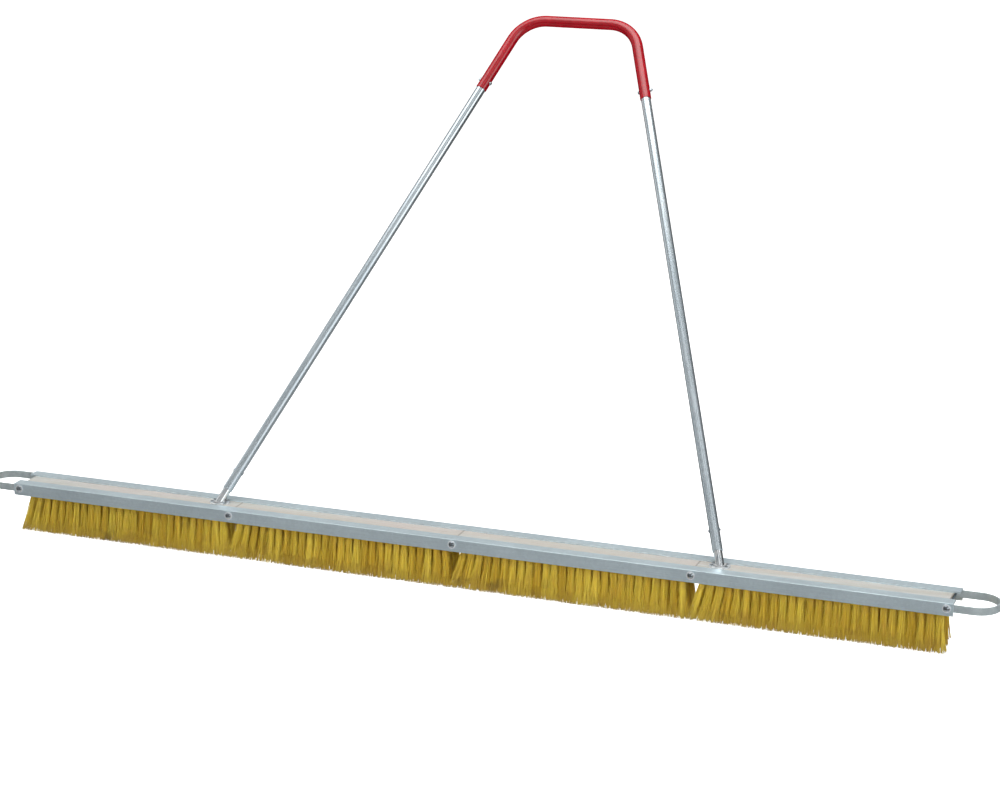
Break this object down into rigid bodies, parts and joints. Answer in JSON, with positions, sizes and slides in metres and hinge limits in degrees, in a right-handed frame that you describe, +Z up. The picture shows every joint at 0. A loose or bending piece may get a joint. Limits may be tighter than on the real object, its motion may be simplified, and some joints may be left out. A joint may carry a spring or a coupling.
{
  "type": "drag broom",
  "caption": "Wide drag broom: bristled wood blocks clamped between two metal angles, a pivoting tow loop at each end and a leaning tube handle with a U-shaped grip.",
  "frame": {"origin": "on the ground plane at the bristle tips, under the middle of the head, where the two middle bristle packs meet", "axes": "+X along the broom, +Y towards the side the handle leans to, +Z up"},
  "size_m": [2.3334, 0.8134, 1.1251],
  "materials": {
    "angle_metal": "mill finish, slightly dulled",
    "block_wood": "bare sanded softwood",
    "bristle_plastic": "crimped mustard-yellow filament",
    "bright_fasteners": "bright zinc plate",
    "loop_steel": "plain flat bar, dull zinc",
    "foot_steel": "dull zinc plate",
    "leg_metal": "drawn tube, satin",
    "grip_red": "semi-gloss red powder coat over aluminium tube"
  },
  "bodies": {
    "broom": {"front_angle": "angle_metal", "back_angle": "angle_metal", "wood_block_1": "block_wood", "wood_block_2": "block_wood", "wood_block_3": "block_wood", "wood_block_4": "block_wood", "bristle_pack_1": "bristle_plastic", "bristle_pack_2": "bristle_plastic", "bristle_pack_3": "bristle_plastic", "bristle_pack_4": "bristle_plastic", "through_bolts": "bright_fasteners", "front_washers": "bright_fasteners", "back_washers": "bright_fasteners", "through_bolt_nuts": "bright_fasteners", "left_foot_plate": "foot_steel", "right_foot_plate": "foot_steel", "left_foot_post": "foot_steel", "right_foot_post": "foot_steel", "foot_screws": "bright_fasteners", "left_leg_tube": "leg_metal", "right_leg_tube": "leg_metal", "leg_rivets": "bright_fasteners", "grip_tube": "grip_red", "grip_bolts": "bright_fasteners", "grip_bolt_nuts": "bright_fasteners"},
    "left_loop": {"left_tow_loop": "loop_steel"},
    "right_loop": {"right_tow_loop": "loop_steel"}
  },
  "joints": [
    {"name": "left_loop_pivot", "type": "hinge", "parent": "broom", "child": "left_loop", "pos_m": [-1.0668, 0, 0.0985], "axis": [0, -1, 0], "range_deg": [0, 60]},
    {"name": "right_loop_pivot", "type": "hinge", "parent": "broom", "child": "right_loop", "pos_m": [1.0668, 0, 0.0985], "axis": [0, 1, 0], "range_deg": [0, 60]}
  ]
}
